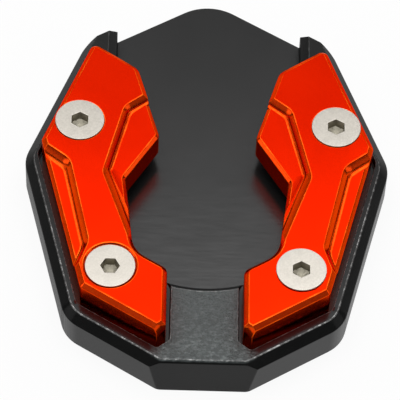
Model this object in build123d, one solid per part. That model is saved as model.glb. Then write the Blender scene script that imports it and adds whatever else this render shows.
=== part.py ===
from build123d import *
import os
from math import cos, radians, sin, tan

# Side-stand foot enlarger: a pad that two clamps and four screws fix under a motorbike's stand foot.
# Millimetres. +Z is up, +Y points out of the pocket's open back, X = 0 is the plane of symmetry.
# The origin is the middle of the underside.

# Base plate outline, sharp corners before they are rounded
BASE_LENGTH = 113.0  # front edge to rounded back tip
BASE_WIDTH = 90.0  # across the two side corners
BASE_HEIGHT = 10.4
FRONT_EDGE = 21.6
SIDE_CORNER_Y = 3.3
FRONT_ANGLE = 31.7  # front diagonals, from X
LOWER_SIDE_ANGLE = 14.5  # sides in front of the side corners, from Y
UPPER_SIDE_ANGLE = 20.8  # sides behind the side corners, from Y
BACK_ANGLE = 31.3  # back edges, from X
TIP_RADIUS = 12.0
CORNER_RADIUS = 9.0
FRONT_CORNER_RADIUS = 3.0
TOP_CHAMFER = 2.1
FRONT_LEAN = 8.2  # degrees that the front facet leans back

# Pocket for the stand's foot
FLOOR_THICKNESS = 3.9
POCKET_SIDE_WALL = 21.8  # solid width between a side corner and the pocket
POCKET_END_RADIUS = 30.0
POCKET_CORNER_RADIUS = 10.0
FRONT_WALL = 23.5  # solid length in front of the pocket

# Clamp seats in the rim
LAND_WIDTH = 16.2  # rim left standing between the two seats
SEAT_GAP = 1.0  # groove around a clamp
SEAT_DEPTH = 2.3

# Clamp plate outline
CLAMP_THICKNESS = 9.0
CLAMP_INSET = 4.5  # edges in front of the side corners, from the base plate's outline
CLAMP_BACK_INSET = 3.9  # edges behind the side corners
CLAMP_END_INSET = 5.3  # front end
FOOT_LENGTH = 15.8  # front end to the inner edge of the foot
WAIST_X = 19.85
WAIST_Y = -5.9
WAIST_ANGLE = 6.6  # inner edge in front of the wing, from Y
WING_TIP_X = 11.8
WING_TIP_Y = 7.2
WING_ANGLE = 16.6  # inner edge behind the wing tip, from Y
TOP_EDGE_X = 22.0
TOP_EDGE_Y = 29.6
TOP_EDGE_ANGLE = 34.2
CLAMP_BACK_RADIUS = 1.6  # outer corner at the back
CLAMP_CORNER_RADIUS = 3.4  # inner corner at the back
CLAMP_SIDE_RADIUS = 1.5
FOOT_CORNER_RADIUS = 2.4
FOOT_HOLLOW_RADIUS = 7.0
WING_TIP_RADIUS = 2.0
TIP_END_CUT = 2.4  # cut-off corner at the front, along the front end
TIP_SIDE_CUT = 2.9  # along the land's side
TIP_DROP = 3.2  # how far down the bevel of that corner reaches

# Top edges of a clamp, and its front end
RIM_CHAMFER = 1.1
LEDGE_CHAMFER = 0.8
END_CHAMFER_RUN = 1.8
END_CHAMFER_DROP = 1.2

# Raised rib of a clamp and the two lowered faces beside it, as lines on the clamp's top face
STEP_HEIGHT = 2.0
RIB_CORNER_X = 25.4
RIB_CORNER_Y = -5.6
RIB_BACK_ANGLE = 13.4  # rib edge beside the wing, from Y
RIB_FRONT_ANGLE = 19.5  # rib edge in front of the wing, from Y
NOTCH_X = 16.4
NOTCH_Y = 17.75
NOTCH_ANGLE = 38.0
LEDGE_CORNER_X = 33.3
LEDGE_CORNER_Y = -2.1
LEDGE_BACK_ANGLE = 37.2  # wall behind the ledge, from X
LEDGE_RIB_ANGLE = 12.8  # wall beside the ledge, from Y
LEDGE_LENGTH = 24.4
LEDGE_FRONT_ANGLE = 18.0  # wall in front of the ledge, from Y
# How far the sloped walls reach out, and how much of that is bevel at the top and at the foot
RIB_BACK_RUN = 1.8
RIB_FRONT_RUN = 3.0
NOTCH_RUN = 2.0
LEDGE_BACK_RUN = 2.5
LEDGE_RIB_RUN = 2.1
LEDGE_FRONT_RUN = 1.5
TOP_BEVEL_SHARE = 0.52
FOOT_BEVEL_SHARE = 0.34
FOOT_BEVEL_HEIGHT = 0.3
# Corner radii of the walls on the clamp's top face and at their foot
RIB_RADII = (4.0, 2.0)
NOTCH_RADII = (4.5, 1.8)
LEDGE_RADII = (5.0, 2.5)
LEDGE_END_RADII = (5.0, 3.0)

# Countersunk socket screws, M6
SCREW_DIAMETER = 6.0
SCREW_LENGTH = 14.0
SCREW_POINT = 0.8
HEAD_DIAMETER = 12.0
HEAD_RIM = 0.3
SOCKET_FLATS = 4.0
SOCKET_DEPTH = 2.5
SOCKET_POINT = 120.0  # angle of the drilled bottom
CLEARANCE_HOLE = 6.6
HEAD_GAP = 0.05
THREAD_GAP = 0.05
HOLE_RUN_OUT = 1.0
BACK_SCREW_Y = 9.5
BACK_SCREW_EDGE = 6.6  # from the clamp's outer edge
FRONT_SCREW_EDGE = 8.1
FRONT_SCREW_END = 8.6  # from the clamp's front end
# How far each head stands above its clamp, and how its socket is turned
BACK_SCREW_PROUD = 0.3
LEFT_FRONT_SCREW_PROUD = -0.2
RIGHT_FRONT_SCREW_PROUD = 0.5
CORNER_UP = 30.0
FLAT_UP = 0.0

POCKET_WIDTH = BASE_WIDTH - 2 * POCKET_SIDE_WALL
SEAT_Z = BASE_HEIGHT - SEAT_DEPTH
CLAMP_TOP = SEAT_Z + CLAMP_THICKNESS
LEDGE_Z = CLAMP_TOP - STEP_HEIGHT
OVERCUT = 1.0  # how far cutters reach past a face
TOUCHING = 0.01  # distance within which an edge counts as lying on a wall


def edge_line(x, y, angle):
    """A straight line as a point and a direction, the angle in degrees from +X."""
    return Vector(x, y), Vector(cos(radians(angle)), sin(radians(angle)))


def moved(line, distance):
    """The same line moved to its left."""
    point, along = line
    return point + Vector(-along.Y, along.X) * distance, along


def meet(first, second):
    """The point where two lines cross."""
    (p, a), (q, b) = first, second
    across = q - p
    return p + a * ((across.X * b.Y - across.Y * b.X) / (a.X * b.Y - a.Y * b.X))


def corners(lines):
    """The corner points of a closed loop of lines, each corner at the end of its line."""
    following = lines[1:] + lines[:1]
    return [meet(line, after) for line, after in zip(lines, following)]


def rounded_face(points, radii):
    return make_face(FilletPolyline(*points, radius=radii, close=True))


def mirrored(shape):
    return mirror(shape, about=Plane.YZ)


# Edges of the base plate's right half, counter-clockwise, so that left of each is inside
tip_cut = TIP_RADIUS * (1 / cos(radians(BACK_ANGLE)) - 1)
front_y = -BASE_LENGTH / 2
front_edge = edge_line(0, front_y, 0)
front_diagonal = edge_line(FRONT_EDGE / 2, front_y, FRONT_ANGLE)
lower_side = edge_line(BASE_WIDTH / 2, SIDE_CORNER_Y, 90 - LOWER_SIDE_ANGLE)
upper_side = edge_line(BASE_WIDTH / 2, SIDE_CORNER_Y, 90 + UPPER_SIDE_ANGLE)
back_edge = edge_line(0, BASE_LENGTH / 2 + tip_cut, 180 - BACK_ANGLE)

# Edges of the right clamp, counter-clockwise
clamp_end = moved(front_diagonal, CLAMP_END_INSET)
clamp_lower_side = moved(lower_side, CLAMP_INSET)
clamp_upper_side = moved(upper_side, CLAMP_BACK_INSET)
clamp_top_edge = edge_line(TOP_EDGE_X, TOP_EDGE_Y, 180 + TOP_EDGE_ANGLE)
clamp_wing_edge = edge_line(WING_TIP_X, WING_TIP_Y, 270 - WING_ANGLE)
clamp_waist = edge_line(WAIST_X, WAIST_Y, 270 - WAIST_ANGLE)
clamp_foot_edge = moved(clamp_end, FOOT_LENGTH)
clamp_land_side = edge_line(LAND_WIDTH / 2 + SEAT_GAP, 0, 270)


def base_outline(back_corner, back_radius, middle, middle_radii):
    """The plate's outline, from its front edge round both sides to its back corners and back middle."""
    right = [
        meet(front_edge, front_diagonal), meet(front_diagonal, lower_side), meet(lower_side, upper_side),
        back_corner,
    ]
    left = [Vector(-p.X, p.Y) for p in reversed(right)]
    radii = [FRONT_CORNER_RADIUS, CORNER_RADIUS, CORNER_RADIUS, back_radius]
    return rounded_face(right + middle + left, radii + middle_radii + radii[::-1])


def pocket_face():
    """U-shaped pocket, open at the back, with a gently curved front end."""
    pocket_front = front_y + FRONT_WALL
    curve_centre = pocket_front + POCKET_END_RADIUS
    slot = Rectangle(POCKET_WIDTH, BASE_LENGTH + FRONT_WALL, align=(Align.CENTER, Align.MIN))
    behind = Rectangle(2 * POCKET_END_RADIUS, BASE_LENGTH, align=(Align.CENTER, Align.MIN))
    curved_end = Pos(0, curve_centre) * (Circle(POCKET_END_RADIUS) + behind)
    pocket = (Pos(0, pocket_front) * slot) & curved_end
    ends = pocket.vertices().filter_by(lambda v: v.Y < curve_centre)
    return fillet(ends, POCKET_CORNER_RADIUS)


def tip_corners():
    """The two corners left where the clamp's front tip is cut off, on the land's side and on the end."""
    tip = meet(clamp_land_side, clamp_end)
    return tip - clamp_land_side[1] * TIP_SIDE_CUT, tip + clamp_end[1] * TIP_END_CUT


def clamp_face():
    points = corners([
        clamp_end, clamp_lower_side, clamp_upper_side, clamp_top_edge, clamp_wing_edge,
    ])[:4]
    points += [
        Vector(WING_TIP_X, WING_TIP_Y),
        Vector(WAIST_X, WAIST_Y),
        meet(clamp_waist, clamp_foot_edge),
        meet(clamp_foot_edge, clamp_land_side),
        *tip_corners(),
    ]
    radii = [
        CLAMP_SIDE_RADIUS, CLAMP_SIDE_RADIUS, CLAMP_BACK_RADIUS, CLAMP_CORNER_RADIUS,
        WING_TIP_RADIUS, CLAMP_SIDE_RADIUS, FOOT_HOLLOW_RADIUS, FOOT_CORNER_RADIUS, 0, 0,
    ]
    return rounded_face(points, radii)


def screw_places():
    """Each screw's x, y, height above its clamp and socket turn, with left and right by the sign of x."""
    level = edge_line(0, BACK_SCREW_Y, 0)
    back = meet(level, moved(clamp_upper_side, BACK_SCREW_EDGE))
    front = meet(moved(clamp_end, FRONT_SCREW_END), moved(clamp_lower_side, FRONT_SCREW_EDGE))
    return [
        (-back.X, back.Y, BACK_SCREW_PROUD, CORNER_UP),
        (back.X, back.Y, BACK_SCREW_PROUD, CORNER_UP),
        (-front.X, front.Y, LEFT_FRONT_SCREW_PROUD, FLAT_UP),
        (front.X, front.Y, RIGHT_FRONT_SCREW_PROUD, CORNER_UP),
    ]


def sunk_step(lines, runs, radii):
    """Cutter that lowers a clamp beside its rib, from a loop of lines on the top face.

    Each wall reaches in by its own run: a bevel at the top, a steep middle and a bevel at the foot.
    Below the lowered face the cutter goes straight down through the plate.
    """
    levels = [
        (SEAT_Z - OVERCUT, 1), (LEDGE_Z, 1), (LEDGE_Z + FOOT_BEVEL_HEIGHT, 1 - FOOT_BEVEL_SHARE),
        (CLAMP_TOP - RIM_CHAMFER, TOP_BEVEL_SHARE), (CLAMP_TOP, 0),
    ]
    sections = []
    for z, share in levels:
        edges = [moved(line, run * share) for line, run in zip(lines, runs)]
        rounding = [top * (1 - share) + foot * share for top, foot in radii]
        sections.append(Pos(0, 0, z) * rounded_face(corners(edges), rounding))
    return loft(sections, ruled=True)


def wing_step():
    """The lowered wing beside the rib, which runs out to nothing at the waist."""
    rib_front = edge_line(RIB_CORNER_X, RIB_CORNER_Y, 90 - RIB_FRONT_ANGLE)
    rib_back = edge_line(RIB_CORNER_X, RIB_CORNER_Y, 90 + RIB_BACK_ANGLE)
    notch = edge_line(NOTCH_X, NOTCH_Y, 180 - NOTCH_ANGLE)
    run_out = edge_line(0, meet(rib_front, moved(clamp_waist, RIM_CHAMFER)).Y - OVERCUT, 0)
    middle = edge_line(0, 0, 270)
    runs = [0, RIB_FRONT_RUN, RIB_BACK_RUN, NOTCH_RUN, 0]
    radii = [(0, 0), RIB_RADII, NOTCH_RADII, (0, 0), (0, 0)]
    return sunk_step([run_out, rib_front, rib_back, notch, middle], runs, radii)


def ledge_step():
    """The lowered ledge on the clamp's outer side."""
    back_wall = edge_line(LEDGE_CORNER_X, LEDGE_CORNER_Y, 180 + LEDGE_BACK_ANGLE)
    rib_wall = edge_line(LEDGE_CORNER_X, LEDGE_CORNER_Y, 270 - LEDGE_RIB_ANGLE)
    end = rib_wall[0] + rib_wall[1] * LEDGE_LENGTH
    front_wall = edge_line(end.X, end.Y, 270 + LEDGE_FRONT_ANGLE)
    outside = edge_line(BASE_WIDTH / 2, 0, 90)
    runs = [0, LEDGE_BACK_RUN, LEDGE_RIB_RUN, LEDGE_FRONT_RUN]
    radii = [(0, 0), LEDGE_RADII, LEDGE_END_RADII, (0, 0)]
    return sunk_step([outside, back_wall, rib_wall, front_wall], runs, radii)


def end_chamfer():
    """Wedge that bevels the clamp's front end, with its own run and drop."""
    point, along = clamp_end
    section = Plane((point.X, point.Y, CLAMP_TOP), x_dir=(along.Y, -along.X, 0), z_dir=(along.X, along.Y, 0))
    wedge = Polygon(
        (-END_CHAMFER_RUN, 0), (0, -END_CHAMFER_DROP), (OVERCUT, -END_CHAMFER_DROP), (OVERCUT, 0), align=None,
    )
    return extrude(section * wedge, BASE_WIDTH, both=True)


def tip_bevel():
    """Block whose underside bevels the cut-off front corner, deepest at the front end."""
    side_corner, end_corner = tip_corners()
    flat_corner = meet(moved(clamp_land_side, RIM_CHAMFER), moved(clamp_end, END_CHAMFER_RUN))
    top = Vector(flat_corner.X, flat_corner.Y, CLAMP_TOP)
    to_side = Vector(side_corner.X, side_corner.Y, CLAMP_TOP - RIM_CHAMFER) - top
    to_end = Vector(end_corner.X, end_corner.Y, CLAMP_TOP - TIP_DROP) - top
    bevel = Plane(top, x_dir=to_end, z_dir=to_side.cross(to_end))
    block = Box(CLAMP_THICKNESS, CLAMP_THICKNESS, TIP_DROP, align=(Align.CENTER, Align.CENTER, Align.MIN))
    return bevel * block


def countersink(x, y, proud):
    """Clearance hole and cone for one screw, with the cone round the head as high as the head stands."""
    hole_radius = CLEARANCE_HOLE / 2
    mouth_radius = HEAD_DIAMETER / 2 + HEAD_GAP + HEAD_RIM - proud
    cone_depth = mouth_radius - hole_radius
    profile = Polygon(
        (0, SEAT_Z - OVERCUT), (hole_radius, SEAT_Z - OVERCUT), (hole_radius, CLAMP_TOP - cone_depth),
        (mouth_radius, CLAMP_TOP), (mouth_radius, CLAMP_TOP + OVERCUT), (0, CLAMP_TOP + OVERCUT), align=None,
    )
    return Pos(x, y) * revolve(Plane.XZ * profile, Axis.Z)


def make_base():
    """Machined plate: chamfered sides, leaning front facet, pocket, clamp seats and tapped holes."""
    horn = meet(upper_side, back_edge)
    outline = base_outline(horn, CORNER_RADIUS, [back_edge[0]], [TIP_RADIUS])
    past_tip = edge_line(0, BASE_LENGTH / 2 + TOP_CHAMFER + OVERCUT, 180)
    open_outline = base_outline(meet(upper_side, past_tip), 0, [], [])
    base = extrude(open_outline, BASE_HEIGHT)
    base = chamfer(base.faces().sort_by(Axis.Z)[-1].edges(), TOP_CHAMFER)
    base &= extrude(outline, BASE_HEIGHT)

    lean = BASE_HEIGHT * tan(radians(FRONT_LEAN))
    front_slice = Polygon((front_y, 0), (front_y + lean, BASE_HEIGHT), (front_y, BASE_HEIGHT), align=None)
    base -= extrude(Plane.YZ * front_slice, BASE_WIDTH / 2, both=True)

    pocket = pocket_face()
    base -= Pos(0, 0, FLOOR_THICKNESS) * extrude(pocket, BASE_HEIGHT)
    rim_face = base.faces().sort_by(Axis.Z)[-1]
    pocket_wall = extrude(pocket, BASE_HEIGHT + OVERCUT)
    pocket_edges = rim_face.edges().filter_by(lambda e: pocket_wall.distance_to(e.center()) < TOUCHING)
    base = chamfer(pocket_edges, TOP_CHAMFER)

    seat = Pos(0, 0, SEAT_Z) * extrude(offset(clamp_face(), SEAT_GAP), SEAT_DEPTH + OVERCUT)
    base -= seat
    base -= mirrored(seat)
    for x, y, proud, _ in screw_places():
        bottom = CLAMP_TOP + proud - SCREW_LENGTH - HOLE_RUN_OUT
        hole = Cylinder(
            SCREW_DIAMETER / 2 + THREAD_GAP, BASE_HEIGHT, align=(Align.CENTER, Align.CENTER, Align.MIN),
        )
        base -= Pos(x, y, bottom) * hole
    return base


def chamfered_plate(top, size):
    """The clamp's outline as a plate from its seat up, with its top edges chamfered."""
    plate = Pos(0, 0, SEAT_Z) * extrude(clamp_face(), top - SEAT_Z)
    return chamfer(plate.faces().sort_by(Axis.Z)[-1].edges(), size)


def make_clamp(side):
    """One clamp plate: raised rib, lowered wing and ledge, bevelled front end. Side is 1 right, -1 left."""
    clamp = chamfered_plate(CLAMP_TOP, RIM_CHAMFER)
    clamp -= wing_step()
    clamp -= ledge_step()
    clamp += chamfered_plate(LEDGE_Z, LEDGE_CHAMFER)
    clamp -= end_chamfer()
    clamp -= tip_bevel()
    if side < 0:
        clamp = mirrored(clamp)
    for x, y, proud, _ in screw_places():
        if x * side > 0:
            clamp -= countersink(x, y, proud)
    return clamp


def make_screw(x, y, proud, turn):
    """Countersunk screw with a hexagon socket, its head at the height at which it was done up."""
    head_radius = HEAD_DIAMETER / 2
    shank_radius = SCREW_DIAMETER / 2
    cone_depth = head_radius - shank_radius
    profile = Polygon(
        (0, 0), (head_radius, 0), (head_radius, -HEAD_RIM), (shank_radius, -HEAD_RIM - cone_depth),
        (shank_radius, SCREW_POINT - SCREW_LENGTH), (shank_radius - SCREW_POINT, -SCREW_LENGTH),
        (0, -SCREW_LENGTH), align=None,
    )
    screw = revolve(Plane.XZ * profile, Axis.Z)
    socket = RegularPolygon(SOCKET_FLATS / 2, 6, major_radius=False, rotation=turn)
    screw -= extrude(socket, -SOCKET_DEPTH)
    point_depth = SOCKET_FLATS / 2 / tan(radians(SOCKET_POINT / 2))
    point = Cone(0, SOCKET_FLATS / 2, point_depth, align=(Align.CENTER, Align.CENTER, Align.MAX))
    screw -= Pos(0, 0, -SOCKET_DEPTH) * point
    return Pos(x, y, CLAMP_TOP + proud) * screw


os.makedirs("parts", exist_ok=True)
export_step(make_base(), "parts/base_plate.step")
export_step(make_clamp(-1), "parts/left_clamp.step")
export_step(make_clamp(1), "parts/right_clamp.step")
export_step(Compound([make_screw(*place).solid() for place in screw_places()]), "parts/clamp_screws.step")
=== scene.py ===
# %% [markdown]
# # A foot enlarger for a motorbike's side stand
#
# The object is a flat black pad that keeps a parked motorbike's stand from sinking into soft ground.
# The stand's foot slides into a pocket in the pad from behind, and two red-orange clamp plates hold
# it there, each with two countersunk screws. The CAD model already has the true shapes and sizes, so
# this script loads it as a fixed frame and never moves it. What is left for Blender is what the eye
# reads as metal: edges that are not quite sharp, anodised colour, and a studio to reflect.

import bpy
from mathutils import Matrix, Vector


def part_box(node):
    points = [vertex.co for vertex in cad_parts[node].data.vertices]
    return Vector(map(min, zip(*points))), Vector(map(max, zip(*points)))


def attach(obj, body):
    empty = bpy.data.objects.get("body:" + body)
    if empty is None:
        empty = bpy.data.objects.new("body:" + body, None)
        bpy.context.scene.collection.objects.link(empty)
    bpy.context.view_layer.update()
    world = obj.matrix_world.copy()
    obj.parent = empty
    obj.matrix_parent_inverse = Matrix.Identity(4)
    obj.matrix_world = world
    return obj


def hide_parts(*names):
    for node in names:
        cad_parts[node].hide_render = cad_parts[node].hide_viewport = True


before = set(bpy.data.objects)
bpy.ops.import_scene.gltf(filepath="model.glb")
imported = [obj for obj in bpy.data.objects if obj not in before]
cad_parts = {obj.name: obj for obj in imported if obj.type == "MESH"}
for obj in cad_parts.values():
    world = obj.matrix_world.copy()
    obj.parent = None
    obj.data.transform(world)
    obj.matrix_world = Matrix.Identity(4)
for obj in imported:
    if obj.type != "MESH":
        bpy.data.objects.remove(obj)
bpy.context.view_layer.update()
print("nodes", sorted(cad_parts))

# %% [markdown]
# ## Broken edges
#
# No machined edge is truly sharp. Tumbling and brushing leave a radius of a few tenths of a
# millimetre, and that narrow strip is what catches the lamps and draws the bright lines along metal.
# The strips could be fillets in CAD, but that would add hundreds of faces that no one measures.
# A bevel modifier would be quicker still, but it would also bevel the seams of the triangles that
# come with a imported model.
#
# So each piece gets a copy of its mesh, and that copy is cleaned first. Loose triangles are merged, flat
# faces are joined again, and they are split only as far as holes and hollow corners need.

# %% A mesh with its flat faces joined
import bmesh
import bpy
from math import radians

MILLIMETRE = 0.001
SEAM = 0.002 * MILLIMETRE
FLAT_TURN = radians(0.6)


def joined_flats(mesh):
    shape = bmesh.new()
    shape.from_mesh(mesh)
    bmesh.ops.remove_doubles(shape, verts=shape.verts, dist=SEAM)
    bmesh.ops.dissolve_limit(shape, angle_limit=FLAT_TURN, verts=shape.verts, edges=shape.edges)
    bmesh.ops.connect_verts_concave(shape, faces=shape.faces)
    print(len(mesh.polygons), "faces joined to", len(shape.faces))
    return shape


# %% [markdown]
# The edges that turn by more than 24 degrees are then bevelled. The underside's edges lie on the ground
# and are left as they are. They are marked sharp, or the shading of the walls would bend towards the
# underside.
#
# The bevel's Clamp Overlap stays off. It shrinks all the strips of a mesh to what its shortest edge can
# take, and round corners have very short edges. The bevel's own faces get a face attribute named "edge".
# A material can read it later, to wear the edges, paint highlights along them, and nothing else.

# %% A copy of a CAD node with its edges broken
SHARP_TURN = radians(24)
UNDERSIDE = 0.5 * MILLIMETRE


def edges_to_break(shape):
    """Mark the sharp edges on the ground, and list the others."""
    underside = min(vert.co.z for vert in shape.verts) + UNDERSIDE
    sharp = [edge for edge in shape.edges if edge.is_manifold and edge.calc_face_angle() > SHARP_TURN]
    for edge in sharp:
        edge.smooth = max(vert.co.z for vert in edge.verts) > underside
    return [edge for edge in sharp if edge.smooth]


def broken_edge_copy(node, name, radius, segments):
    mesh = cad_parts[node].data.copy()
    if "custom_normal" in mesh.attributes:
        mesh.attributes.remove(mesh.attributes["custom_normal"])
    shape = joined_flats(mesh)
    strip_mark = shape.faces.layers.float.new("edge")
    broken = edges_to_break(shape)
    print(name, "has", len(broken), "edges to break")
    strips = bmesh.ops.bevel(
        shape, geom=broken, offset=radius, offset_type="OFFSET", segments=segments, profile=0.5,
        affect="EDGES", material=-1, clamp_overlap=False,
    )
    for face in strips["faces"]:
        face[strip_mark] = 1.0
    for face in shape.faces:
        face.smooth = True
    shape.to_mesh(mesh)
    shape.free()
    piece = bpy.data.objects.new(name, mesh)
    bpy.context.collection.objects.link(piece)
    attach(piece, "root")
    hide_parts(node)
    print(name, "has", len(mesh.polygons), "faces")
    return piece


# %% [markdown]
# Smooth shading blends the normals across each strip, which makes it look round. It would also bend
# the light on the large flat faces beside it. A Weighted Normal modifier settles that: at each corner
# the larger face decides, so flats stay flat and only the strips are round. Keep Sharp stops it at the
# marked edges, and a weight of 100 favours the larger face as much as it can.
#
# The pad's edges are brushed over most. The clamps are crisper, and the screws come from a header with
# almost none.

# %% The four pieces
PAD_EDGE = 0.22 * MILLIMETRE
CLAMP_EDGE = 0.18 * MILLIMETRE
SCREW_EDGE = 0.12 * MILLIMETRE


def keep_flats_flat(piece):
    even_normals = piece.modifiers.new("even_normals", "WEIGHTED_NORMAL")
    even_normals.keep_sharp = True
    even_normals.weight = 100


pad = broken_edge_copy("base_plate", "base_plate_finished", PAD_EDGE, 3)
left_clamp = broken_edge_copy("left_clamp", "left_clamp_finished", CLAMP_EDGE, 3)
right_clamp = broken_edge_copy("right_clamp", "right_clamp_finished", CLAMP_EDGE, 3)
screws = broken_edge_copy("clamp_screws", "clamp_screws_finished", SCREW_EDGE, 2)
for piece in (pad, left_clamp, right_clamp, screws):
    keep_flats_flat(piece)

# %% [markdown]
# ## Black anodised pad
#
# The three metal finishes are built the same way: a Principled shader, with its colour and its roughness
# varied by noise in object coordinates. Noise needs no unwrapping and no pictures, and object
# coordinates stay fixed to the piece when it is moved. One unit is a metre here, so a noise scale of
# 1000 gives grain of about a millimetre.
#
# Anodising grows a glassy oxide layer on aluminium and then dyes it. A black dye hides the metal, so
# the pad behaves like dark glass: very little diffuse light, and a clear gloss on top. That is a
# plain dielectric shader, not a metallic one. Soft clouds and a fine grain are where its variation
# starts from.

# %% Clouds and grain of the black finish
OXIDE_IOR = 1.45


def new_finish(name):
    material = bpy.data.materials.new(name)
    material.use_nodes = True
    place = material.node_tree.nodes.new("ShaderNodeTexCoord")
    return material, material.node_tree.nodes["Principled BSDF"], place.outputs["Object"]


def join(material, source, target):
    material.node_tree.links.new(source, target)


def noise(material, place, scale, detail):
    node = material.node_tree.nodes.new("ShaderNodeTexNoise")
    node.inputs["Scale"].default_value = scale
    node.inputs["Detail"].default_value = detail
    join(material, place, node.inputs["Vector"])
    return node.outputs["Fac"]


black, shader, place = new_finish("black_anodised")
shader.inputs["IOR"].default_value = OXIDE_IOR
cloud = noise(black, place, scale=60, detail=2)
grain = noise(black, place, scale=2000, detail=4)
print(black.name, "starts with", len(black.node_tree.nodes), "nodes")

# %% [markdown]
# Not all of the pad shines alike. The pocket's floor is burnished by milling and mirrors the studio. The
# land in front of it, between the clamps, was blasted: it is a little paler and glitters. The rim and
# the front walls are duller, the chamfers duller still, and the long sides are matt.
#
# Where a face lies and which way it looks tells which of these it is, so the floor, the chamfers and the
# sides get an attribute each. How far a normal points up is its Z: 1 on a level face, 0 on a wall. The
# sides' attribute falls off round the corners, so that no border shows there.

# %% Mark the pocket's floor, the chamfers and the long sides
LEVEL = 0.99
CHAMFER_FROM = 0.3
CHAMFER_TO = 0.9
SIDE_STARTS = 0.68
SIDE_FULL = 0.93
pad_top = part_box("base_plate")[1][2]
half_way_up = 0.5 * pad_top


def mark_faces(piece, name, share):
    """Give a piece's faces an attribute from 0 to 1, by a rule that looks at each face."""
    mark = piece.data.attributes.new(name, "FLOAT", "FACE")
    for face in piece.data.polygons:
        mark.data[face.index].value = float(share(face))
    print(piece.name, "has", sum(share(face) > 0 for face in piece.data.polygons), "faces marked", name)


def side_share(face):
    """1 where a wall looks sideways, less round the corners, 0 in front and at the back."""
    upright = face.normal.z < CHAMFER_FROM
    sideways = (abs(face.normal.x) - SIDE_STARTS) / (SIDE_FULL - SIDE_STARTS)
    return upright * min(max(sideways, 0), 1)


mark_faces(pad, "pocket_floor", lambda face: face.normal.z > LEVEL and face.center.z < half_way_up)
mark_faces(pad, "chamfer", lambda face: CHAMFER_FROM < face.normal.z < CHAMFER_TO)
mark_faces(pad, "long_side", side_share)

# %% [markdown]
# The land is part of the rim's top and has no faces of its own. Its share is worked out in the material
# instead, from the height and the distance from the middle. A Map Range node turns a place into a share,
# and a Math node multiplies two shares.

# %% Where the land lies
LAND_INSIDE = 9 * MILLIMETRE
LAND_OUTSIDE = 13 * MILLIMETRE
TOP_STARTS = pad_top - 0.5 * MILLIMETRE
TOP_FULL = pad_top - 0.2 * MILLIMETRE


def along(material, place, axis):
    """The place along X, Y or Z, in metres."""
    node = material.node_tree.nodes.new("ShaderNodeSeparateXYZ")
    join(material, place, node.inputs["Vector"])
    return node.outputs[axis]


def spread(material, source, low, high, start=0.0, end=1.0):
    """Stretch a value that runs from start to end, so that it runs from low to high."""
    node = material.node_tree.nodes.new("ShaderNodeMapRange")
    node.inputs["From Min"].default_value = start
    node.inputs["From Max"].default_value = end
    node.inputs["To Min"].default_value = low
    node.inputs["To Max"].default_value = high
    join(material, source, node.inputs["Value"])
    return node.outputs["Result"]


def combine(material, operation, first, second):
    node = material.node_tree.nodes.new("ShaderNodeMath")
    node.operation = operation
    join(material, first, node.inputs[0])
    join(material, second, node.inputs[1])
    return node.outputs["Value"]


aside = along(black, place, "X")
ahead = along(black, place, "Y")
near_top = spread(black, along(black, place, "Z"), 0, 1, TOP_STARTS, TOP_FULL)
right_share = spread(black, aside, 1, 0, LAND_INSIDE, LAND_OUTSIDE)
left_share = spread(black, aside, 1, 0, -LAND_INSIDE, -LAND_OUTSIDE)
land = combine(black, "MULTIPLY", near_top, combine(black, "MULTIPLY", right_share, left_share))
print("land within", round(LAND_OUTSIDE / MILLIMETRE), "mm of the middle")

# %% [markdown]
# The rim's upper edges are rubbed to bare metal in fine spots. The spots also paint the bright highlight
# lines that the front edges catch from the overhead light, so they are densest in front and fade out
# towards the back. The share is the "edge" attribute times a fine noise, only near the top.

# %% Where the rim is rubbed, with painted highlight lines in front
WEAR_HIGHLIGHT_FRONT = -20 * MILLIMETRE
WEAR_HIGHLIGHT_BACK = 10 * MILLIMETRE
LEAST_WEAR_HIGHLIGHT = 0.2


def marked(material, name):
    """How much a face is marked by the piece's own attribute, from 0 to 1."""
    node = material.node_tree.nodes.new("ShaderNodeAttribute")
    node.attribute_name = name
    return node.outputs["Fac"]


speckle = noise(black, place, scale=1100, detail=3)
spots = spread(black, speckle, low=0.12, high=0.55, start=0.45, end=0.68)
# Painted highlight: the bare spots are weighted to the front, where the edges catch the overhead light.
highlight_in_front = spread(black, ahead, 1, LEAST_WEAR_HIGHLIGHT, WEAR_HIGHLIGHT_FRONT, WEAR_HIGHLIGHT_BACK)
upper_edges = combine(black, "MULTIPLY", marked(black, "edge"), near_top)
worn_and_highlit = combine(black, "MULTIPLY", upper_edges, combine(black, "MULTIPLY", spots, highlight_in_front))
print(black.name, "has", len(black.node_tree.nodes), "nodes with the wear")

# %% [markdown]
# With these shares, colours can be laid one over the other. Below all is the dye with its soft clouds. The
# matt sides scatter more light, so their black is a little paler. The land is paler again, with flakes
# drawn
# out to the sides: pale specks of the blasted grain that also serve as painted glints, and that grow
# denser towards the front as a painted sheen along the front edge. Bare metal lies on top, in spots that
# also paint the front edges' highlight lines, and where it does the shader turns metallic.

# %% Black dye, pale flakes with painted glints, and bare metal with painted highlights
FLAKE_SHEEN_FRONT = -52 * MILLIMETRE
FLAKE_SHEEN_BACK = -34 * MILLIMETRE
LEAST_FLAKE_SHEEN = 0.25


def colours(material, source, low, high):
    """Run from one colour to another over the middle of a noise."""
    node = material.node_tree.nodes.new("ShaderNodeValToRGB")
    node.color_ramp.elements[0].position = 0.3
    node.color_ramp.elements[0].color = (*low, 1)
    node.color_ramp.elements[1].position = 0.7
    node.color_ramp.elements[1].color = (*high, 1)
    join(material, source, node.inputs["Fac"])
    return node.outputs["Color"]


def drawn_out(material, place, times):
    """Places squeezed along X, so that a noise is drawn out across the object."""
    node = material.node_tree.nodes.new("ShaderNodeMapping")
    node.inputs["Scale"].default_value = (1 / times, 1, 1)
    join(material, place, node.inputs["Vector"])
    return node.outputs["Vector"]


def mixed(material, share, under, over):
    """One colour over another, by a share from 0 to 1."""
    node = material.node_tree.nodes.new("ShaderNodeMix")
    node.data_type = "RGBA"
    join(material, share, node.inputs["Factor"])
    join(material, under, node.inputs["A"])
    join(material, over, node.inputs["B"])
    return node.outputs["Result"]


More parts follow.
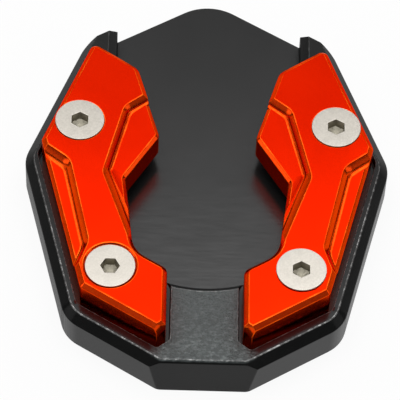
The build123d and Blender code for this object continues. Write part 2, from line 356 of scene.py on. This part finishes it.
dye = colours(black, cloud, (0.0050, 0.0052, 0.0052), (0.0085, 0.0087, 0.0086))
matt_dye = colours(black, grain, (0.010, 0.0104, 0.0104), (0.017, 0.0174, 0.0172))
dull_dye = colours(black, grain, (0.026, 0.031, 0.031), (0.054, 0.064, 0.063))
# Pale flakes of the blasted land, which also serve as painted glints.
flake_and_glint_dye = colours(black, grain, (0.080, 0.093, 0.092), (0.145, 0.165, 0.163))
# Bare metal of the rubbed spots, which also paints the front edges' highlight lines.
bare_metal_highlight = colours(black, grain, (0.30, 0.30, 0.30), (0.60, 0.60, 0.59))

glint_grain = noise(black, drawn_out(black, place, times=1.6), scale=1500, detail=2)
flakes_and_glints = spread(black, glint_grain, low=0, high=1, start=0.45, end=0.70)
# Painted sheen: the flakes grow denser towards the front edge.
flake_sheen_to_front = spread(black, ahead, 1, LEAST_FLAKE_SHEEN, FLAKE_SHEEN_FRONT, FLAKE_SHEEN_BACK)
blasted = mixed(black, combine(black, "MULTIPLY", flakes_and_glints, flake_sheen_to_front), dull_dye, flake_and_glint_dye)
outside = mixed(black, marked(black, "long_side"), dye, matt_dye)
tone = mixed(black, worn_and_highlit, mixed(black, land, outside, blasted), bare_metal_highlight)
join(black, tone, shader.inputs["Base Color"])
join(black, worn_and_highlit, shader.inputs["Metallic"])
print(black.name, "has", len(black.node_tree.nodes), "nodes with its colours")

# %% [markdown]
# Gloss comes last. It is set by two inputs: Roughness blurs what a face mirrors, and Specular IOR Level
# says how much it mirrors at all. The cutter left faint marks across the pocket's floor, for which a
# noise drawn out along X stands. They and the floor's shine fade towards the open back. The land is
# rougher than the rest, and a bump from the fine grain gives it its tooth.

# %% Gloss of the pad
MARKS_FRONT = -20 * MILLIMETRE
MARKS_BACK = 35 * MILLIMETRE
MARK_DEPTH = 0.3
POLISH_FRONT = -25 * MILLIMETRE
POLISH_BACK = 50 * MILLIMETRE
MOST_POLISH = 1.15
LEAST_POLISH = 0.5
RIM_GLOSS = 0.26
CHAMFER_GLOSS = 0.08
MATT_SHARE = 0.01
SHINE_GLOSS = 0.24
MOST_SHINE = 1.5


def bump(material, shader, height, strength, distance):
    node = material.node_tree.nodes.new("ShaderNodeBump")
    node.inputs["Distance"].default_value = distance
    join(material, height, node.inputs["Height"])
    join(material, strength, node.inputs["Strength"])
    join(material, node.outputs["Normal"], shader.inputs["Normal"])


def coat(material, slot, *pieces):
    for piece in pieces:
        piece.data.materials.clear()
        piece.data.materials.append(material)
    nodes = len(material.node_tree.nodes)
    print(material.name, "on", [piece.name for piece in pieces], "with", nodes, "nodes")


lines = noise(black, drawn_out(black, place, times=8), scale=1400, detail=3)
cutter_marks = spread(black, lines, low=-MARK_DEPTH, high=MARK_DEPTH, start=0.3, end=0.7)
marks_fade = spread(black, ahead, 1, 0, MARKS_FRONT, MARKS_BACK)
polish_fade = spread(black, ahead, MOST_POLISH, LEAST_POLISH, POLISH_FRONT, POLISH_BACK)
polish = combine(black, "ADD", combine(black, "MULTIPLY", cutter_marks, marks_fade), polish_fade)
burnished = marked(black, "pocket_floor")
shine = combine(black, "MAXIMUM", combine(black, "MULTIPLY", burnished, polish), land)
softened = combine(black, "MAXIMUM", burnished, land)

satin = spread(black, grain, low=0.13, high=0.19)
softer = combine(black, "ADD", satin, spread(black, softened, low=0, high=0.08))
rough = combine(black, "ADD", softer, spread(black, land, low=0, high=0.14))
join(black, rough, shader.inputs["Roughness"])
rim_gloss = spread(black, marked(black, "chamfer"), RIM_GLOSS, CHAMFER_GLOSS)
sides = spread(black, marked(black, "long_side"), 1, MATT_SHARE)
wall_gloss = combine(black, "MULTIPLY", rim_gloss, sides)
shine_gloss = spread(black, shine, 0, SHINE_GLOSS * MOST_SHINE, 0, MOST_SHINE)
join(black, combine(black, "ADD", wall_gloss, shine_gloss), shader.inputs["Specular IOR Level"])
bump(black, shader, grain, spread(black, land, low=0.03, high=0.8), 0.4 * MILLIMETRE)
coat(black, "base_black", pad)

# %% [markdown]
# ## Red-orange anodised clamps
#
# The clamps' dye is transparent, so bright aluminium shines through it. Light that is reflected by the
# metal passes the dye twice and comes back coloured, which is what a metallic shader does: the
# highlights are orange, not white. A red paint with a clear coat would be the other way to do it, but
# paint has white highlights.
#
# The dye is not equally deep everywhere. Edges take up less, and not evenly, so their strips turn to a
# paler orange here and there; the same paler orange also paints the orange highlight lines along them.
# They are rougher too, from tumbling. Every face that isn't level gets a mark and part of that paler
# orange, as a painted reflection of the orange light that chamfers and walls throw back.

# %% Mark the clamps' slopes, and dye them with painted sheen on edges and slopes
BROAD_TOP = 0.95
SLOPE_SHEEN_SHARE = 0.4

for clamp in (left_clamp, right_clamp):
    mark_faces(clamp, "slope", lambda face: face.normal.z < BROAD_TOP)

red, shader, place = new_finish("red_anodised")
cloud = noise(red, place, scale=45, detail=2)
grain = noise(red, place, scale=1800, detail=2)
dye = colours(red, cloud, (0.58, 0.0100, 0.0003), (0.66, 0.0130, 0.0004))
# Paler orange: thinner dye on the edges, plus painted highlights on the edges and painted reflection on
# the slopes.
thin_dye_and_sheen = colours(red, grain, (0.76, 0.07, 0.004), (0.90, 0.13, 0.010))
uneven = spread(red, noise(red, place, scale=150, detail=2), low=0.25, high=1, start=0.4, end=0.65)
edges = combine(red, "MULTIPLY", marked(red, "edge"), uneven)
# Painted sheen: the slopes get part of the paler orange.
thinned_and_sheened = combine(red, "MAXIMUM", edges, spread(red, marked(red, "slope"), 0, SLOPE_SHEEN_SHARE))
join(red, mixed(red, thinned_and_sheened, dye, thin_dye_and_sheen), shader.inputs["Base Color"])
satin = spread(red, grain, low=0.16, high=0.24)
tumbled = spread(red, marked(red, "edge"), low=0, high=0.18)
join(red, combine(red, "ADD", satin, tumbled), shader.inputs["Roughness"])
bump(red, shader, grain, spread(red, cloud, low=0.03, high=0.07), 0.02 * MILLIMETRE)
shader.inputs["Metallic"].default_value = 1.0
shader.inputs["Specular Tint"].default_value = (1.0, 0.36, 0.22, 1)
coat(red, "clamp_red", left_clamp, right_clamp)

# %% [markdown]
# ## Stainless screws
#
# The screws are stainless steel, a little warm, with a fine satin grain. Their sockets are punched
# and stay dull, so the steel gets rougher below the heads' faces, and it is coloured a little darker there
# as painted shade in the sockets.

# %% Satin stainless screws
head_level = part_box("clamp_screws")[1][2]
socket_level = head_level - 2.2 * MILLIMETRE
face_level = head_level - 0.9 * MILLIMETRE

steel, shader, place = new_finish("satin_stainless")
grain = noise(steel, place, scale=2200, detail=3)
open_face = spread(steel, along(steel, place, "Z"), 0, 1, socket_level, face_level)
# Painted shade: the steel in the sockets is coloured darker.
shaded_socket_steel = colours(steel, grain, (0.32, 0.30, 0.24), (0.42, 0.39, 0.32))
bright = colours(steel, grain, (0.36, 0.338, 0.30), (0.425, 0.398, 0.356))
join(steel, mixed(steel, open_face, shaded_socket_steel, bright), shader.inputs["Base Color"])
satin = spread(steel, grain, low=0.28, high=0.40)
punched = spread(steel, open_face, low=0.25, high=0)
join(steel, combine(steel, "ADD", satin, punched), shader.inputs["Roughness"])
bump(steel, shader, grain, spread(steel, open_face, low=0.04, high=0.08), 0.02 * MILLIMETRE)
shader.inputs["Metallic"].default_value = 1.0
coat(steel, "screw_steel", screws)

# %% [markdown]
# ## Studio
#
# Metal has hardly any look of its own: it shows what stands around it. So the studio is planned like
# a photographer's table. The floor is white paper. For the rays that the camera sees, directly or in a
# mirror, most of its brightness is emitted, which keeps the background white at a strength of 1. The
# rest is lit by the lamps, and that part keeps the object's shadow.

# %% White paper
PAPER_GLOW = 0.92

scene = bpy.context.scene
scene.view_settings.view_transform = "Standard"


def seen_directly(tree):
    """1 for camera, glossy and transmission rays, 0 for the rays that carry soft light."""
    rays = tree.nodes.new("ShaderNodeLightPath")
    mirror = tree.nodes.new("ShaderNodeMath")
    mirror.operation = "MAXIMUM"
    either = tree.nodes.new("ShaderNodeMath")
    either.operation = "MAXIMUM"
    tree.links.new(rays.outputs["Is Glossy Ray"], mirror.inputs[0])
    tree.links.new(rays.outputs["Is Transmission Ray"], mirror.inputs[1])
    tree.links.new(rays.outputs["Is Camera Ray"], either.inputs[0])
    tree.links.new(mirror.outputs["Value"], either.inputs[1])
    return either.outputs["Value"]


paper, shader, place = new_finish("white_paper")
fibre = noise(paper, place, scale=3, detail=2)
join(paper, colours(paper, fibre, (0.82, 0.82, 0.82), (0.86, 0.86, 0.86)), shader.inputs["Base Color"])
shader.inputs["Roughness"].default_value = 0.9
glow = paper.node_tree.nodes.new("ShaderNodeEmission")
blend = paper.node_tree.nodes.new("ShaderNodeMixShader")
join(paper, spread(paper, seen_directly(paper.node_tree), 0, PAPER_GLOW), blend.inputs["Fac"])
join(paper, shader.outputs["BSDF"], blend.inputs[1])
join(paper, glow.outputs["Emission"], blend.inputs[2])
join(paper, blend.outputs["Shader"], paper.node_tree.nodes["Material Output"].inputs["Surface"])
print(paper.name, "with", len(paper.node_tree.nodes), "nodes")

# %% [markdown]
# The paper lies a hair below the pad, so that the two flat faces don't fight for the same place.

# %% White floor
FLOOR_HALF = 3
FLOOR_GAP = 0.05 * MILLIMETRE


def place_sheet(name, sheet, material):
    mesh = bpy.data.meshes.new(name)
    sheet.to_mesh(mesh)
    sheet.free()
    thing = bpy.data.objects.new(name, mesh)
    bpy.context.collection.objects.link(thing)
    mesh.materials.append(material)
    print(name, [round(value, 2) for value in thing.dimensions])
    return thing


sheet = bmesh.new()
bmesh.ops.create_grid(sheet, x_segments=1, y_segments=1, size=FLOOR_HALF)
bmesh.ops.translate(sheet, vec=(0, 0, -FLOOR_GAP), verts=sheet.verts)
place_sheet("floor", sheet, paper)

# %% [markdown]
# A white room alone would make the metal flat, because every facet would mirror the same white. A grey
# curtain all round darkens whatever looks sideways: chamfers and step walls turn dark, while the flat
# tops, which look up past the curtain, stay bright. The camera doesn't see the curtain.

# %% Grey curtain
CURTAIN_RADIUS = 1.5
CURTAIN_BOTTOM = 0.06
CURTAIN_TOP = 1.5

cloth, shader, place = new_finish("grey_cloth")
rise = spread(cloth, along(cloth, place, "Z"), 0, 1, CURTAIN_BOTTOM, CURTAIN_TOP)
join(cloth, colours(cloth, rise, (0.03, 0.03, 0.03), (0.30, 0.30, 0.30)), shader.inputs["Base Color"])
shader.inputs["Roughness"].default_value = 0.9

ring = bmesh.new()
bmesh.ops.create_cone(
    ring, cap_ends=False, segments=64, radius1=CURTAIN_RADIUS, radius2=CURTAIN_RADIUS,
    depth=CURTAIN_TOP - CURTAIN_BOTTOM,
)
bmesh.ops.translate(ring, vec=(0, 0, (CURTAIN_TOP + CURTAIN_BOTTOM) / 2), verts=ring.verts)
curtain = place_sheet("curtain", ring, cloth)
curtain.visible_camera = False

# %% [markdown]
# The lamps are softboxes, that is area lamps, because metal shows their shape. Each is placed by the
# direction in which it is seen from the object, in degrees round from straight behind and degrees above
# the floor. Its brightness is given as radiance: what a perfect mirror would show of it, where 1 is
# white. The power that Blender asks for is radiance times area times pi.
#
# The wide box overhead gives the light of the scene and the bright lines on edges that face the
# camera. The panel behind it is what the flat tops mirror, and a faint one in front does the same when
# the object is seen from behind. A narrow strip behind draws the lines on the clamps' rear edges. Two
# boxes at the back corners draw those on edges that run front to back, two low ones at the sides light
# the wings' lower chamfers, two in front light the chamfers of the clamps' ends, and two wide ones low
# at the rear light the slopes of the raised ribs. Left and right differ a little, as they do on a real
# table. None is many times brighter than white, so that no mirror image of them burns out.

# %% Softboxes
from math import cos, pi, sin
from mathutils import Vector

LAMP_DISTANCE = 1.2


def softbox(name, turn, height, width, depth, radiance, distance=LAMP_DISTANCE):
    """An area lamp that looks at the object. To the right is a positive turn."""
    turn, height = radians(turn), radians(height)
    lamp = bpy.data.lights.new(name, "AREA")
    lamp.shape = "RECTANGLE"
    lamp.size = width
    lamp.size_y = depth
    lamp.energy = radiance * width * depth * pi
    box = bpy.data.objects.new(name, lamp)
    away = Vector((sin(turn) * cos(height), cos(turn) * cos(height), sin(height)))
    box.location = away * distance
    box.rotation_euler = away.to_track_quat("Z", "Y").to_euler()
    box.visible_camera = False
    bpy.context.collection.objects.link(box)
    print(name, round(lamp.energy, 1), "W")


softbox("overhead", turn=0, height=90, width=1.5, depth=0.9, radiance=1.9, distance=1.15)
softbox("back_panel", turn=0, height=66, width=1.2, depth=0.38, radiance=1.8)
softbox("front_panel", turn=180, height=15, width=1.0, depth=0.22, radiance=0.8)
softbox("rear_strip", turn=0, height=27, width=1.3, depth=0.16, radiance=2.4)
for side, word, low_glow, front_glow in ((-1, "left", 1.9, 0.5), (1, "right", 1.4, 0.3)):
    softbox(f"back_{word}", turn=side * 40, height=43, width=0.5, depth=0.4, radiance=2.2)
    softbox(f"low_{word}", turn=side * 97, height=19, width=0.6, depth=0.4, radiance=low_glow)
    softbox(f"front_{word}", turn=side * 129, height=26, width=0.55, depth=0.3, radiance=front_glow)
    softbox(f"rear_{word}", turn=side * 53, height=6, width=1.0, depth=0.22, radiance=0.6)

# %% [markdown]
# The room behind the curtain is white as well. Rays that are seen directly find it at a strength of 1,
# like the floor. The soft light that it adds is weaker, so that the lamps keep the shadows.

# %% White room
WHITE = (1, 1, 1, 1)
ROOM_LIGHT = 0.25

room = bpy.data.worlds.new("white_room")
scene.world = room
room.use_nodes = True
tree = room.node_tree
soft_light = tree.nodes["Background"]
soft_light.inputs["Color"].default_value = WHITE
soft_light.inputs["Strength"].default_value = ROOM_LIGHT
backdrop = tree.nodes.new("ShaderNodeBackground")
backdrop.inputs["Color"].default_value = WHITE
backdrop.inputs["Strength"].default_value = 1.0
blend = tree.nodes.new("ShaderNodeMixShader")
tree.links.new(seen_directly(tree), blend.inputs["Fac"])
tree.links.new(soft_light.outputs["Background"], blend.inputs[1])
tree.links.new(backdrop.outputs["Background"], blend.inputs[2])
tree.links.new(blend.outputs["Shader"], tree.nodes["World Output"].inputs["Surface"])
print("room", len(tree.nodes), "nodes")

# %% [markdown]
# ## Camera
#
# The photograph was taken from about 55 degrees above the table with a long lens, and held slightly
# askew. The camera aims at a point in the pad's middle, stands back by its distance, and is rolled
# about its own axis last. The focal length is worked out in pixels of a 400 pixel image and turned
# into millimetres for the sensor.

# %% Camera at the photograph's angle
from mathutils import Matrix

ELEVATION = radians(54.89)
AZIMUTH = radians(-1.52)
ROLL = radians(2.89)
DISTANCE = 0.7
FOCAL_PIXELS = 2851.43
IMAGE_PIXELS = 400
target = Vector((-1.44, -4.87, 5.0)) * MILLIMETRE

turned = Matrix.Rotation(AZIMUTH, 3, "Z") @ Matrix.Rotation(radians(90) - ELEVATION, 3, "X")
turned = turned @ Matrix.Rotation(ROLL, 3, "Z")
lens = bpy.data.cameras.new("camera")
lens.sensor_width = 36
lens.lens = lens.sensor_width * FOCAL_PIXELS / IMAGE_PIXELS
camera = bpy.data.objects.new("camera", lens)
camera.matrix_world = Matrix.Translation(target + turned @ Vector((0, 0, DISTANCE))) @ turned.to_4x4()
bpy.context.collection.objects.link(camera)
scene.camera = camera
stand = camera.matrix_world.translation
print("camera at", [round(value, 3) for value in stand], "lens", round(lens.lens), "mm")
